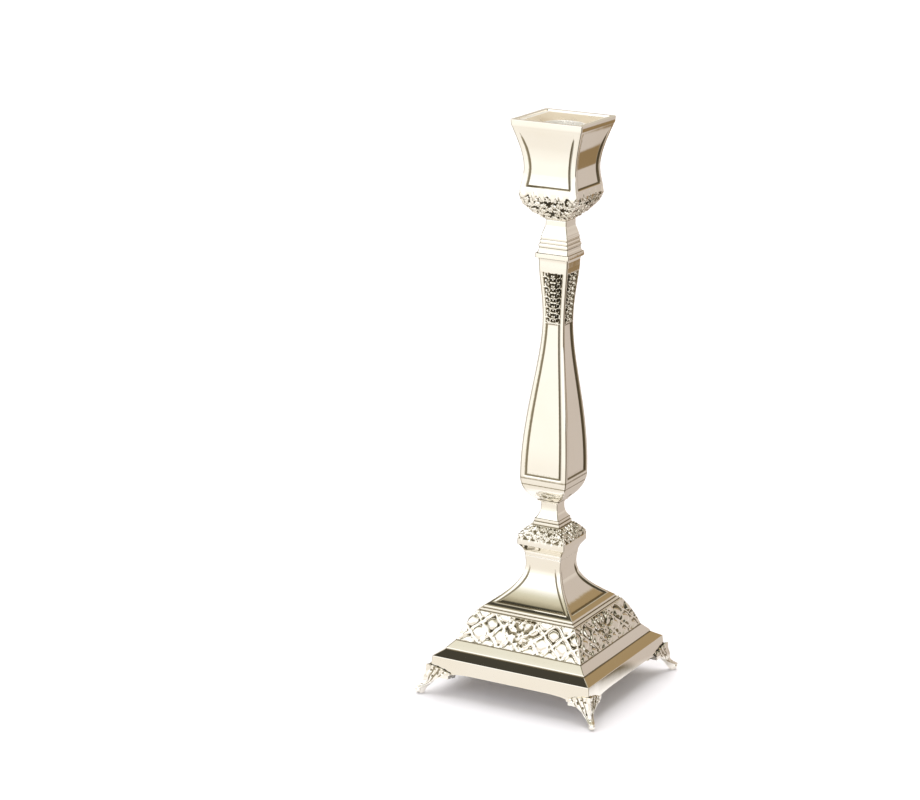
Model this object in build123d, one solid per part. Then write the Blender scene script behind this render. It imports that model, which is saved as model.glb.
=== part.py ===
from build123d import *
from math import sqrt
import os

# Square candlestick in silver plate: hollow square castings stacked on one
# threaded rod, four screwed-on corner feet, and a lift-out candle socket.
# Millimetres, +Z up, origin on the ground under the middle of the base.
# A half-width is measured from the axis to the middle of a flat face.

# ---- heights of the mouldings, from the ground up -------------------------
skirt_clear = 10.8          # ground to the lower edge of the skirt
skirt_height = 8.3
cove_height = 3.1           # sloping band above the skirt
cove_fillet_height = 0.7
border_height = 3.8         # plain sloping border under the lattice
lattice_height = 14.8
step_height = 1.1           # upright of each of the two steps over the lattice
pyramid_height = 20.6
base_collar_height = 4.5    # flare from the top of the pyramid to the knop
knop_flare_height = 6.2
knop_band_height = 2.7
knop_ring_height = 6.8      # flower ring
knop_step_height = 1.7      # each of two small steps over the ring
knop_waist_height = 6.1
knop_neck_height = 1.0
knop_top_height = 2.0
shaft_lip_height = 0.7
shaft_round_height = 12.3   # rounded underside of the shaft
shaft_belly_height = 1.4    # upright stretch at its widest
shaft_taper_height = 78.4   # belly to waist
shaft_swell_height = 27.5   # waist to the plain band
shaft_band_height = 2.1
shaft_cap_height = 2.0
collar_height = 2.4
neck_cavetto_height = 2.8
neck_step_height = 1.9      # each of three small steps
neck_ogee_height = 5.4
neck_throat_height = 2.5
bowl_height = 13.6          # flowered underside of the cup
bulge_height = 12.0
cup_flare_height = 20.7
rim_height = 3.5

# ---- half-widths ----------------------------------------------------------
skirt_half = 44.5
skirt_top_half = 43.6
cove_half = 38.6
border_half = 34.9
lattice_top_half = 27.3
step_set_back = 0.9
pyramid_half = 24.9
pyramid_top_half = 9.6
base_top_half = 10.1
knop_band_half = 13.1
knop_ring_top_half = 8.1
knop_step_half = 7.4
knop_step_set_back = 0.5
knop_waist_half = 6.6
knop_neck_half = 4.5
shaft_foot_half = 5.5
shaft_lip_half = 6.1
shaft_belly_half = 12.85
shaft_waist_half = 5.95
shaft_band_half = 7.9
shaft_cap_half = 8.5
collar_half = 9.15
neck_cavetto_half = 8.6
neck_step_half = 7.8
neck_step_set_back = 0.3
neck_throat_half = 5.65
bulge_out = 1.45            # bulge beyond the cup's waist
cup_flare_out = 4.65        # top of the flare beyond the waist
rim_set_out = 0.25          # rim beyond the flare, and again from foot to top

# ---- walls, sunk panels and seats -----------------------------------------
wall = 2.1                  # shaft and cup castings
base_wall = 2.4
panel_depth = 0.8
cup_border = 2.5            # plain border beside each sunk panel
shaft_border = 1.9
pyramid_border = 2.6
cup_panel_margin = 6.0      # panel ends, from the bulge and from the rim
shaft_panel_foot = 1.0      # panel end above the belly
shaft_panel_head = 3.0      # panel end below the plain band
pyramid_panel_foot = 1.6
pyramid_panel_head = 3.5
arch_rise = 1.5             # lift of the skirt's lower edge between the feet
arch_half_length = 29.0
spigot_depth = 1.8          # each casting locks into the one below it
spigot_gap = 0.1            # side clearance of a spigot in its seat
cup_spigot_half = 3.9
neck_spigot_half = 5.4
shaft_spigot_half = 3.6
knop_spigot_half = 6.6

# ---- tie rod and its fasteners --------------------------------------------
rod_radius = 2.5
rod_bore_gap = 0.25         # radial clearance through the castings
thread_gap = 0.03           # radial clearance in the nuts
nut_flats = 8.0
nut_height = 4.0
washer_radius = 5.0
washer_thickness = 1.0
spring_washer_radius = 4.4
spring_washer_thickness = 1.2
spring_washer_gap = 0.9
plate_half = 9.0
plate_thickness = 1.5
plate_corner = 1.0          # radius of the plate's corners
rod_end = 2.0               # rod left beyond each nut
cup_floor_height = 10.0     # cup floor above the throat
base_roof_drop = 13.5       # underside of the base boss, below its top

# ---- candle socket --------------------------------------------------------
candle_radius = 10.0
socket_depth = 22.0
socket_wall = 1.0
socket_room = 0.95          # between the socket and the cup wall
rim_border = 2.15           # rim's top, outside the flange
flange_thickness = 0.9
flange_gap = 0.15           # side clearance of the flange in the rim
flange_sink = 0.7           # rim top to flange top
dish_border = 1.6           # flat edge of the flange round the dish
dish_depth = 3.6
dish_skin = 0.3             # extra metal behind the dish's slopes
ledge_width = 1.0           # seat under the flange

# ---- feet -----------------------------------------------------------------
foot_gap = 0.15             # foot to the face of the skirt
foot_wall = 1.6
foot_lap = 4.2              # foot above the skirt's lower edge
foot_spread = 13.0          # wing length from the corner
toe_reach = 5.7             # toe beyond the lower edge of the skirt
toe_pad = 2.8               # flat under each toe, in half-width
toe_round = 0.5             # rounding of the toe's lower edge
toe_nose = 1.2              # rounding of the toe's upper edge
toe_thickness = 3.4
toe_spread = 2.6
ankle_level = 6.6
lug_thickness = 2.0
lug_radius = 4.0
post_radius = 3.3
post_inset = 7.6            # screw axis from the face of the skirt
screw_radius = 1.5
screw_head_radius = 2.8
screw_head_height = 1.7
screw_length = 6.5          # screw inside the base's post
screw_slot = 0.7
screw_hole_depth = 7.5
foot_washer_radius = 3.0
foot_washer_thickness = 0.5
foot_washer_gap = 0.1       # radial clearance round the screw
cut_past = 1.0              # cutters run this far beyond what they cut

# ---- half-widths that follow from the candle and the skirt ------------------
cup_waist_half = candle_radius + socket_wall + socket_room + wall
bulge_half = cup_waist_half + bulge_out
cup_top_half = cup_waist_half + cup_flare_out
rim_under_half = cup_top_half + rim_set_out
rim_half = rim_under_half + rim_set_out
rim_opening = rim_half - rim_border
flange_half = rim_opening - flange_gap
dish_half = flange_half - dish_border
dish_low_half = candle_radius + socket_wall
toe_half = skirt_half + toe_reach
post_at = skirt_half - post_inset
foot_inner = skirt_half + foot_gap
foot_outer = foot_inner + foot_wall

# ---- levels ---------------------------------------------------------------
skirt_top = skirt_clear + skirt_height
cove_top = skirt_top + cove_height
border_low = cove_top + cove_fillet_height
lattice_low = border_low + border_height
lattice_top = lattice_low + lattice_height
pyramid_low = lattice_top + 2 * step_height
pyramid_top = pyramid_low + pyramid_height
base_top = pyramid_top + base_collar_height
band_low = base_top + knop_flare_height
ring_low = band_low + knop_band_height
ring_top = ring_low + knop_ring_height
waist_low = ring_top + 2 * knop_step_height
knop_neck = waist_low + knop_waist_height
knop_top = knop_neck + knop_neck_height + knop_top_height
round_low = knop_top + shaft_lip_height
belly_low = round_low + shaft_round_height
belly_top = belly_low + shaft_belly_height
shaft_waist = belly_top + shaft_taper_height
band_foot = shaft_waist + shaft_swell_height
cap_low = band_foot + shaft_band_height
shaft_top = cap_low + shaft_cap_height
collar_top = shaft_top + collar_height
neck_steps = collar_top + neck_cavetto_height
ogee_low = neck_steps + 3 * neck_step_height
throat_low = ogee_low + neck_ogee_height
neck_top = throat_low + neck_throat_height
bulge_level = neck_top + bowl_height
cup_waist = bulge_level + bulge_height
rim_low = cup_waist + cup_flare_height
rim_top = rim_low + rim_height

# ---- outlines: (half-width, level) points, or curves between them ----------
# A curve is (end point, lead, tail); lead and tail place its two control
# points as shares of the run in half-width and in height.
base_outline = [
    (skirt_half, skirt_clear),
    (skirt_top_half, skirt_top),
    (cove_half, cove_top),
    (cove_half, border_low),
    (border_half, lattice_low),
    ((lattice_top_half, lattice_top), (0.25, 0.37), (0.59, 0.71)),
    (lattice_top_half - step_set_back, lattice_top),
    (lattice_top_half - step_set_back, lattice_top + step_height),
    (pyramid_half, lattice_top + step_height),
    (pyramid_half, pyramid_low),
    ((pyramid_top_half, pyramid_top), (0.558, 0.296), (1.0, 0.573)),
    ((base_top_half, base_top), (0.0, 0.4), (0.6, 0.9)),
]
knop_outline = [
    (base_top_half, base_top),
    ((knop_band_half, band_low), (0.05, 0.5), (0.6, 0.75)),
    (knop_band_half, ring_low),
    ((knop_ring_top_half, ring_top), (0.02, 0.38), (0.43, 0.735)),
    (knop_step_half, ring_top),
    (knop_step_half, ring_top + knop_step_height),
    (knop_step_half - knop_step_set_back, ring_top + knop_step_height),
    (knop_step_half - knop_step_set_back, waist_low),
    (knop_waist_half, waist_low),
    ((knop_neck_half, knop_neck), (0.5, 0.25), (1.0, 0.54)),
    (knop_neck_half, knop_neck + knop_neck_height),
    ((shaft_foot_half, knop_top), (0.0, 0.5), (0.5, 1.0)),
]
shaft_outline = [
    (shaft_foot_half, knop_top),
    (shaft_lip_half, knop_top),
    (shaft_lip_half, round_low),
    ((shaft_belly_half, belly_low), (0.5, 0.19), (0.97, 0.52)),
    (shaft_belly_half, belly_top),
    ((shaft_waist_half, shaft_waist), (0.0, 0.397), (1.0, 0.731)),
    ((shaft_band_half, band_foot), (0.0, 0.36), (0.675, 0.655)),
    (shaft_band_half, cap_low),
    ((shaft_cap_half, shaft_top), (0.1, 0.6), (0.5, 0.95)),
]
neck_outline = [
    (collar_half, shaft_top),
    (collar_half, collar_top),
    (neck_cavetto_half, collar_top),
    ((neck_step_half, neck_steps), (0.6, 0.2), (1.0, 0.6)),
]
for step in range(3):
    half = neck_step_half - step * neck_step_set_back
    neck_outline.append((half, neck_steps + step * neck_step_height))
    neck_outline.append((half, neck_steps + (step + 1) * neck_step_height))
neck_outline += [
    ((neck_throat_half, throat_low), (0.1, 0.35), (0.75, 0.75)),
    (neck_throat_half, neck_top),
]
cup_outline = [
    (neck_throat_half, neck_top),
    ((bulge_half, bulge_level), (0.39, 0.25), (1.0, 0.54)),
    ((cup_waist_half, cup_waist), (0.0, 0.35), (1.0, 0.56)),
    ((cup_top_half, rim_low), (0.0, 0.32), (0.55, 0.69)),
    (rim_under_half, rim_low),
    (rim_half, rim_top),
]


def edges_of(outline, inset=0.0):
    """Edges of one side of an outline, moved inset towards the axis."""
    edges = []
    half, level = outline[0]
    here = Vector(half - inset, 0, level)
    for run in outline[1:]:
        curved = len(run) == 3
        half, level = run[0] if curved else run
        there = Vector(half - inset, 0, level)
        if (there - here).length < 1e-6:
            continue
        if curved:
            way = there - here
            lead = here + Vector(way.X * run[1][0], 0, way.Z * run[1][1])
            tail = here + Vector(way.X * run[2][0], 0, way.Z * run[2][1])
            edges.append(Edge.make_bezier(here, lead, tail, there))
        else:
            edges.append(Edge.make_line(here, there))
        here = there
    return edges


def prism(outline, inset=0.0):
    """The outline and its mirror image, filled and drawn out along Y."""
    right = edges_of(outline, inset)
    left = [edge.mirror(Plane.YZ) for edge in right]
    low = right[0] @ 0
    high = right[-1] @ 1
    ends = [
        Edge.make_line(Vector(-low.X, 0, low.Z), low),
        Edge.make_line(Vector(-high.X, 0, high.Z), high),
    ]
    face = Face(Wire(right + left + ends))
    return extrude(face, amount=2 * skirt_half, both=True)


def moulding(outline, inset=0.0):
    """Square bar with the outline on all four faces and mitred corners."""
    along_y = prism(outline, inset)
    return along_y & along_y.rotate(Axis.Z, 90)


def slab(low, high, half=2 * skirt_half):
    return Pos(0, 0, (low + high) / 2) * Box(2 * half, 2 * half, high - low)


def sunk_panels(outline, border, depth, low, high):
    """Four shallow recesses that follow the outline, one on each face."""
    one = prism(outline, border) - prism(outline, depth).rotate(Axis.Z, 90)
    one = one & slab(low, high)
    return one + one.rotate(Axis.Z, 90)


def square_block(half, low, high):
    return slab(low, high, half)


def round_bar(radius, low, high, x=0.0, y=0.0):
    height = high - low
    return Pos(x, y, (low + high) / 2) * Cylinder(radius, height)


def rod_bore(low, high):
    return round_bar(rod_radius + rod_bore_gap, low - cut_past, high + cut_past)


def seat(half, top):
    """Square recess for a spigot in the top of a casting."""
    return square_block(half + spigot_gap, top - spigot_depth - spigot_gap, top + cut_past)


def spigot(half, foot):
    return square_block(half, foot - spigot_depth, foot)


def corners():
    """The four corners: name, x sign and y sign. The front is towards -Y."""
    return [
        ("front_left", -1, -1),
        ("front_right", 1, -1),
        ("rear_right", 1, 1),
        ("rear_left", -1, 1),
    ]


def washer(radius, thickness, top):
    return round_bar(radius, top - thickness, top) - rod_bore(top - thickness, top)


def hex_nut(low):
    blank = extrude(RegularPolygon(nut_flats / 2, 6, major_radius=False), nut_height)
    cone_radius = nut_flats / sqrt(3)
    cone = Pos(0, 0, nut_height / 2) * Cylinder(cone_radius, nut_height)
    rounded = chamfer(cone.edges().filter_by(GeomType.CIRCLE), nut_flats * 0.05)
    nut = Pos(0, 0, low) * (blank & rounded)
    return nut - round_bar(rod_radius + thread_gap, low - cut_past, low + nut_height + cut_past)


# ---- base -----------------------------------------------------------------
boss_low = base_top - base_roof_drop


def make_base():
    body = moulding(base_outline)
    hollow = moulding(base_outline, base_wall) & slab(0, boss_low)
    body -= hollow
    body -= sunk_panels(
        base_outline, pyramid_border, panel_depth,
        pyramid_low + pyramid_panel_foot, pyramid_top - pyramid_panel_head)
    body -= rod_bore(boss_low, base_top)
    body -= seat(knop_spigot_half, base_top)
    arch = arch_cutter()
    body -= arch
    body -= arch.rotate(Axis.Z, 90)
    for _, sx, sy in corners():
        post = round_bar(post_radius, skirt_clear, border_low, sx * post_at, sy * post_at)
        body += post & moulding(base_outline, base_wall / 2)
        hole_end = skirt_clear + screw_hole_depth
        body -= round_bar(screw_radius + thread_gap, 0, hole_end, sx * post_at, sy * post_at)
    return body


def arch_cutter():
    """Low arch that lifts the skirt's edge between the feet."""
    left = Vector(-arch_half_length, 0, skirt_clear)
    right = Vector(arch_half_length, 0, skirt_clear)
    crown = Vector(0, 0, skirt_clear + arch_rise)
    below = skirt_clear - cut_past
    face = Face(Wire([
        Edge.make_three_point_arc(left, crown, right),
        Edge.make_line(right, Vector(arch_half_length, 0, below)),
        Edge.make_line(Vector(arch_half_length, 0, below), Vector(-arch_half_length, 0, below)),
        Edge.make_line(Vector(-arch_half_length, 0, below), left),
    ]))
    return extrude(face, amount=2 * skirt_half, both=True)


# ---- feet: modelled at the (+X, +Y) corner and turned to the others --------
lug_top = skirt_clear


def make_foot(sx, sy):
    foot_top = skirt_clear + foot_lap
    pad_inner = toe_half - toe_pad
    # outside of the foot: upright wings, then a cabriole curve to the toe
    outside = [
        (toe_half - toe_round, 0),
        (toe_half, toe_round),
        (toe_half, toe_thickness - toe_nose),
        (toe_half - toe_nose, toe_thickness),
        ((foot_outer, ankle_level), (0.7, 0.15), (1.0, 0.55)),
        (foot_outer, foot_top),
    ]
    # inside of the foot: up from the toe's flat to the skirt
    inside = [
        (pad_inner, 0),
        ((foot_inner, ankle_level), (0.7, 0.3), (1.0, 0.6)),
        (foot_inner, foot_top),
    ]
    whole = moulding(outside)
    core = moulding(inside)
    shell = whole - core
    # leaf outline of the wings, seen along the diagonal
    wing = foot_spread / sqrt(2)
    low = ankle_level + 1.6
    half_leaf = [
        Vector(0, 0, -cut_past),
        Vector(toe_spread / 2, 0, -cut_past),
        Vector(toe_spread / 2, 0, toe_thickness * 0.6),
        Vector(wing, 0, low),
        Vector(wing, 0, foot_top + cut_past),
        Vector(0, 0, foot_top + cut_past),
    ]
    leaf_edges = [
        Edge.make_line(half_leaf[0], half_leaf[1]),
        Edge.make_line(half_leaf[1], half_leaf[2]),
        Edge.make_bezier(
            half_leaf[2],
            Vector(toe_spread * 0.7, 0, ankle_level * 0.8),
            Vector(wing * 0.6, 0, low * 0.95),
            half_leaf[3]),
        Edge.make_line(half_leaf[3], half_leaf[4]),
        Edge.make_line(half_leaf[4], half_leaf[5]),
        Edge.make_line(half_leaf[5], half_leaf[0]),
    ]
    leaf = extrude(Face(Wire(leaf_edges)), amount=2 * toe_half, both=True)
    leaf = leaf + leaf.mirror(Plane.YZ)
    leaf = leaf.rotate(Axis.Z, -45)
    quarter = Pos(toe_half, toe_half, toe_half) * Box(2 * toe_half, 2 * toe_half, 2 * toe_half)
    foot = shell & leaf & quarter
    # lug under the skirt's edge, drilled for the screw
    bridge_length = foot_inner - post_at + foot_wall / 2
    bridge = Box(bridge_length, lug_radius * 2, lug_thickness)
    bridge = Pos(post_at + bridge_length / 2, post_at, 0) * bridge
    turned = bridge.mirror(Plane(origin=(0, 0, 0), z_dir=(1, -1, 0)))
    eye = Pos(post_at, post_at, 0) * Cylinder(lug_radius, lug_thickness)
    lug = Pos(0, 0, lug_top - lug_thickness / 2) * (bridge + turned + eye)
    foot += lug
    foot -= round_bar(screw_radius + rod_bore_gap, 0, lug_top + cut_past, post_at, post_at)
    angle = {(1, 1): 0, (-1, 1): 90, (-1, -1): 180, (1, -1): 270}[(sx, sy)]
    return foot.rotate(Axis.Z, angle)


def make_foot_screw(x, y):
    head_top = lug_top - lug_thickness - foot_washer_thickness
    head = round_bar(screw_head_radius, head_top - screw_head_height, head_top, x, y)
    head = fillet(head.edges().sort_by(Axis.Z)[0], screw_head_height * 0.45)
    slot_depth = screw_head_height * 0.5
    slot = Box(2 * screw_head_radius, screw_slot, slot_depth)
    slot_at = Pos(x, y, head_top - screw_head_height + slot_depth / 2)
    for angle in (45, 135):
        head -= slot_at * Rot(0, 0, angle) * slot
    tip = skirt_clear + screw_length
    shank = round_bar(screw_radius, head_top, tip, x, y)
    shank = chamfer(shank.edges().sort_by(Axis.Z)[-1], screw_radius * 0.25)
    return head + shank


def make_foot_washer(x, y):
    top = lug_top - lug_thickness
    low = top - foot_washer_thickness
    ring = round_bar(foot_washer_radius, low, top, x, y)
    return ring - round_bar(screw_radius + foot_washer_gap, low - cut_past, top + cut_past, x, y)


# ---- stacked castings -----------------------------------------------------
def make_knop():
    body = moulding(knop_outline) + spigot(knop_spigot_half, base_top)
    body -= rod_bore(base_top - spigot_depth, knop_top)
    body -= seat(shaft_spigot_half, knop_top)
    return body


def make_shaft():
    body = moulding(shaft_outline)
    core = moulding(shaft_outline, wall) & slab(belly_low, band_foot)
    body -= core
    body -= sunk_panels(
        shaft_outline, shaft_border, panel_depth,
        belly_low + shaft_panel_foot, band_foot - shaft_panel_head)
    body += spigot(shaft_spigot_half, knop_top)
    body -= rod_bore(knop_top - spigot_depth, shaft_top)
    body -= seat(neck_spigot_half, shaft_top)
    return body


def make_neck():
    body = moulding(neck_outline) + spigot(neck_spigot_half, shaft_top)
    body -= rod_bore(shaft_top - spigot_depth, neck_top)
    body -= seat(cup_spigot_half, neck_top)
    return body


flange_top = rim_top - flange_sink
ledge_level = flange_top - flange_thickness
cup_floor = neck_top + cup_floor_height


def make_cup():
    body = moulding(cup_outline)
    mouth_half = rim_opening - ledge_width
    body -= moulding(cup_outline, wall) & square_block(mouth_half, cup_floor, rim_low)
    body -= square_block(mouth_half, rim_low, ledge_level)
    body -= square_block(rim_opening, ledge_level, rim_top + cut_past)
    body -= sunk_panels(
        cup_outline, cup_border, panel_depth,
        bulge_level + cup_panel_margin, rim_low - cup_panel_margin)
    body += spigot(cup_spigot_half, neck_top)
    body -= rod_bore(neck_top - spigot_depth, cup_floor)
    return body


# ---- lift-out candle socket -----------------------------------------------
socket_mouth = flange_top - dish_depth
socket_floor = socket_mouth - socket_depth


def funnel(top_half, top, low_half, low):
    high_face = Pos(0, 0, top) * Rectangle(2 * top_half, 2 * top_half)
    low_face = Pos(0, 0, low) * Rectangle(2 * low_half, 2 * low_half)
    return loft([low_face, high_face])


def make_socket():
    body = square_block(flange_half, ledge_level, flange_top)
    body += funnel(
        dish_half + dish_skin, ledge_level,
        dish_low_half + dish_skin, socket_mouth - socket_wall)
    body += round_bar(candle_radius + socket_wall, socket_floor - socket_wall, socket_mouth)
    slope = (dish_half - dish_low_half) / dish_depth
    body -= funnel(
        dish_half + slope * cut_past, flange_top + cut_past,
        dish_low_half, socket_mouth)
    body -= round_bar(candle_radius, socket_floor, flange_top + cut_past)
    return body


# ---- rod and fasteners ----------------------------------------------------
plate_top = boss_low
base_washer_top = plate_top - plate_thickness
spring_top = base_washer_top - washer_thickness
base_nut_low = spring_top - spring_washer_thickness - nut_height
cup_nut_low = cup_floor + washer_thickness


def make_spring_washer():
    ring = washer(spring_washer_radius, spring_washer_thickness, spring_top)
    middle = spring_top - spring_washer_thickness / 2
    gap = Box(spring_washer_radius, spring_washer_gap, 2 * spring_washer_thickness)
    return ring - Pos(spring_washer_radius, 0, middle) * gap


def make_tie_rod():
    low = base_nut_low - rod_end
    high = cup_nut_low + nut_height + rod_end
    rod = round_bar(rod_radius, low, high)
    return chamfer(rod.edges().filter_by(GeomType.CIRCLE), rod_radius * 0.2)


def make_clamp_plate():
    plate = square_block(plate_half, plate_top - plate_thickness, plate_top)
    plate = fillet(plate.edges().filter_by(Axis.Z), plate_corner)
    return plate - rod_bore(plate_top - plate_thickness, plate_top)


parts = {
    "candle_socket": make_socket(),
    "cup": make_cup(),
    "neck": make_neck(),
    "shaft": make_shaft(),
    "knop": make_knop(),
    "base": make_base(),
    "tie_rod": make_tie_rod(),
    "cup_nut": hex_nut(cup_nut_low),
    "cup_washer": washer(washer_radius, washer_thickness, cup_nut_low),
    "clamp_plate": make_clamp_plate(),
    "base_washer": washer(washer_radius, washer_thickness, base_washer_top),
    "spring_washer": make_spring_washer(),
    "base_nut": hex_nut(base_nut_low),
}
screws = []
foot_washers = []
for corner, sx, sy in corners():
    parts["foot_" + corner] = make_foot(sx, sy)
    screws.append(make_foot_screw(sx * post_at, sy * post_at))
    foot_washers.append(make_foot_washer(sx * post_at, sy * post_at))
parts["foot_screws"] = Compound(children=screws)
parts["foot_washers"] = Compound(children=foot_washers)

os.makedirs("parts", exist_ok=True)
for node, shape in parts.items():
    export_step(shape, os.path.join("parts", node + ".step"))
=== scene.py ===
import math
from collections import namedtuple

import bmesh
import bpy
import numpy as np
from mathutils import Matrix, Vector


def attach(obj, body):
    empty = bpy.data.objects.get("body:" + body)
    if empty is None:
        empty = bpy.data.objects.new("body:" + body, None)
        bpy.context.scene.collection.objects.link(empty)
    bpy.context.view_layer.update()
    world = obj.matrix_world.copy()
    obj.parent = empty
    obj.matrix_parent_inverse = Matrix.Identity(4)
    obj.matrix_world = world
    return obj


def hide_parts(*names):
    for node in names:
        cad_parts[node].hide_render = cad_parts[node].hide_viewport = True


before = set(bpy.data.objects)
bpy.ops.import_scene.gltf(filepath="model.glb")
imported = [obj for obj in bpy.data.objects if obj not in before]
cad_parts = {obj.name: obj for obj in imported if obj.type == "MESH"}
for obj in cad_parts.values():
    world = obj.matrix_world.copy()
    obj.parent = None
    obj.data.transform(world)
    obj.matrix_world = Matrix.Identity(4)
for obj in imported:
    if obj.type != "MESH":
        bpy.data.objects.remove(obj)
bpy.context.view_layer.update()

# Square silver-plated candlestick. Shapes are worked out in millimetres and
# turned into metres when a mesh is made. -Y is the front. A half-width is
# measured from the axis to the middle of a flat face.
MM = 0.001
SIDES = 4

# ---- levels and half-widths of the castings ----
SKIRT_LOW = 10.8
COVE_TOP = 22.2
LATTICE_LOW = 26.7
LATTICE_TOP = 41.5
STEP = 1.1
STEP_BACK = 0.9
PYRAMID_LOW = LATTICE_TOP + 2 * STEP
PYRAMID_TOP = 64.3
BASE_TOP = 68.8
RING_LOW = 77.7
RING_TOP = 84.5
KNOP_TOP = 97.0
ROUND_LOW = 97.7
BELLY_LOW = 110.0
BELLY_TOP = 111.4
SHAFT_WAIST = 189.8
BAND_FOOT = 217.3
SHAFT_TOP = 221.4
COLLAR_TOP = 223.8
NECK_STEPS = 226.6
NECK_STEP = 1.9
THROAT_LOW = 237.7
NECK_TOP = 240.2
BULGE = 253.8
CUP_WAIST = 265.8
RIM_LOW = 286.5
RIM_TOP = 290.0
RIM_OPENING = 17.05
RIM_LEDGE = 16.05
LEDGE_LEVEL = 288.4
CUP_FLOOR = 250.2
BOSS_LOW = 55.3
BORE = 2.8
PANEL_DEPTH = 0.8
PANEL_SLOPE = 0.9
PYRAMID_BORDER = 1.7
# oxide and painted shade in the inner corners: how dark they are, and how far they reach from the corner
CREVICE_OXIDE_AND_SHADE = 0.72
CREVICE_REACH = 0.75
# the skirt's lower edge rises between the feet
ARCH_RISE = 1.5
ARCH_HALF = 33.0
ARCH_FADE = 8.3
# the posts inside the skirt that take the foot screws
POST_AT = 36.9
POST_RADIUS = 3.3
POST_TOP = 18.0

# A run leads from the last point of an outline to (half, level). With lead and
# tail it is a curve, and they place its two control points as shares of the run.
# It gets a number of rows, and one more at each level in marks.
Run = namedtuple("Run", "half level lead tail rows marks", defaults=((1 / 3,) * 2, (2 / 3,) * 2, 1, ()))

# A station is a point of an outline: (out, up) is the way that its surface faces,
# along is the length from the foot, relief is 1 where the face may be carved and
# crevice is how dark an inner corner is painted with oxide and painted shade.
Station = namedtuple("Station", "half level out up along relief crevice")


# ---- outlines ----
def bezier(points, share):
    """Point on a cubic curve, at a share of the way from its start."""
    a, b, c, d = points
    rest = 1 - share
    return a * rest**3 + 3 * b * rest**2 * share + 3 * c * rest * share**2 + d * share**3


def share_at_level(points, level):
    """Share of the way along a rising curve at which it reaches a level."""
    low, high = 0.0, 1.0
    for _ in range(40):
        middle = (low + high) / 2
        if bezier(points, middle)[1] < level:
            low = middle
        else:
            high = middle
    return (low + high) / 2


def trace(start, runs):
    """Stations from the foot of an outline to its head."""
    here = np.array(start)
    stations = []
    along = 0.0
    last = here
    for run in runs:
        there = np.array((run.half, run.level))
        way = there - here
        points = [here, here + way * run.lead, here + way * run.tail, there]
        shares = set(np.linspace(0, 1, run.rows + 1))
        shares.update(share_at_level(points, mark) for mark in run.marks)
        for share in sorted(shares):
            point = bezier(points, share)
            nearby = bezier(points, min(share + 0.01, 1)) - bezier(points, max(share - 0.01, 0))
            length = math.hypot(*nearby)
            along += math.hypot(*(point - last))
            last = point
            if stations and share == 0:
                continue
            out, up = nearby[1] / length, -nearby[0] / length
            stations.append(Station(point[0], point[1], out, up, along, 1.0, 0.0))
        here = there
    return stations


def inner_points(points):
    """Stations of the plain inside."""
    return [Station(half, level, 0.0, 0.0, 0.0, 0.0, 0.0) for half, level in points]


def towards(here, way, reach, most):
    """The point that lies a reach from here, but no more than a share of the way."""
    length = np.hypot(*way)
    return here + way / length * min(reach, most * length)


def soften(stations, rounding, corner=math.radians(24)):
    """Rounds the corners of a closed outline, and darkens the inner corners of its outside with oxide and
    painted shade.
    """
    rounded = []
    count = len(stations)
    for index, station in enumerate(stations):
        here = np.array(station[:2])
        before = np.array(stations[index - 1][:2]) - here
        after = np.array(stations[(index + 1) % count][:2]) - here
        turn = np.dot(before, after) / (np.hypot(*before) * np.hypot(*after))
        if math.acos(max(-1, min(1, -turn))) < corner:
            rounded.append(station)
            continue
        enter = towards(here, before, rounding, 0.3)
        leave = towards(here, after, rounding, 0.3)
        middle = here / 2 + (enter + leave) / 4
        places = [(enter, 0.8), (middle, 1.0), (leave, 0.8)]
        if before[0] * after[1] - before[1] * after[0] > 0 and station.relief:
            places.insert(0, (towards(here, before, CREVICE_REACH, 0.48), 0.0))
            places.append((towards(here, after, CREVICE_REACH, 0.48), 0.0))
        else:
            places = [(point, 0.0) for point, _ in places]
        for point, crevice in places:
            rounded.append(station._replace(half=point[0], level=point[1], relief=0.0, crevice=crevice))
    return rounded


def across(half, arris, border, strip, slope, inner):
    """Places across one face, from arris to arris: rounded arris, border, slope and panel."""
    border = min(border, 0.35 * half)
    foot = min(border + PANEL_SLOPE, 0.5 * half)
    arris = min(arris, 0.62 * border)
    from_arris = np.concatenate([
        [0, arris / 2],
        np.linspace(arris, border, strip, endpoint=False),
        np.linspace(border, foot, slope, endpoint=False),
        np.linspace(foot, half, inner + 1),
    ])
    left = from_arris - half
    return np.concatenate([left, -left[-2::-1]])


# ---- ornament: heights from 0, the ground, to 1, the top of the relief ----
# x runs across the face from its middle, and s runs up it.
def dome(distance, radius):
    """Round top that falls to 0 at the radius."""
    return np.sqrt(np.clip(1 - (distance / radius) ** 2, 0, 1))


def ramp(value, low, high):
    """Smooth rise from 0 at low to 1 at high."""
    share = np.clip((value - low) / (high - low), 0, 1)
    return share * share * (3 - 2 * share)


def rosette(x, s, at, radius, petals=5, turn=0.0):
    """Open flower with a dimple round a raised eye."""
    dx, ds = x - at[0], s - at[1]
    reach = np.hypot(dx, ds)
    angle = np.arctan2(ds, dx) + turn
    petal = np.abs(np.cos(petals / 2 * angle))
    edge = radius * (0.62 + 0.38 * petal)
    blossom = dome(reach, edge) * (0.45 + 0.55 * petal)
    dimple = 1 - 0.75 * dome(reach, 0.42 * radius)
    return np.maximum(blossom * dimple, 0.95 * dome(reach, 0.26 * radius))


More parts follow.
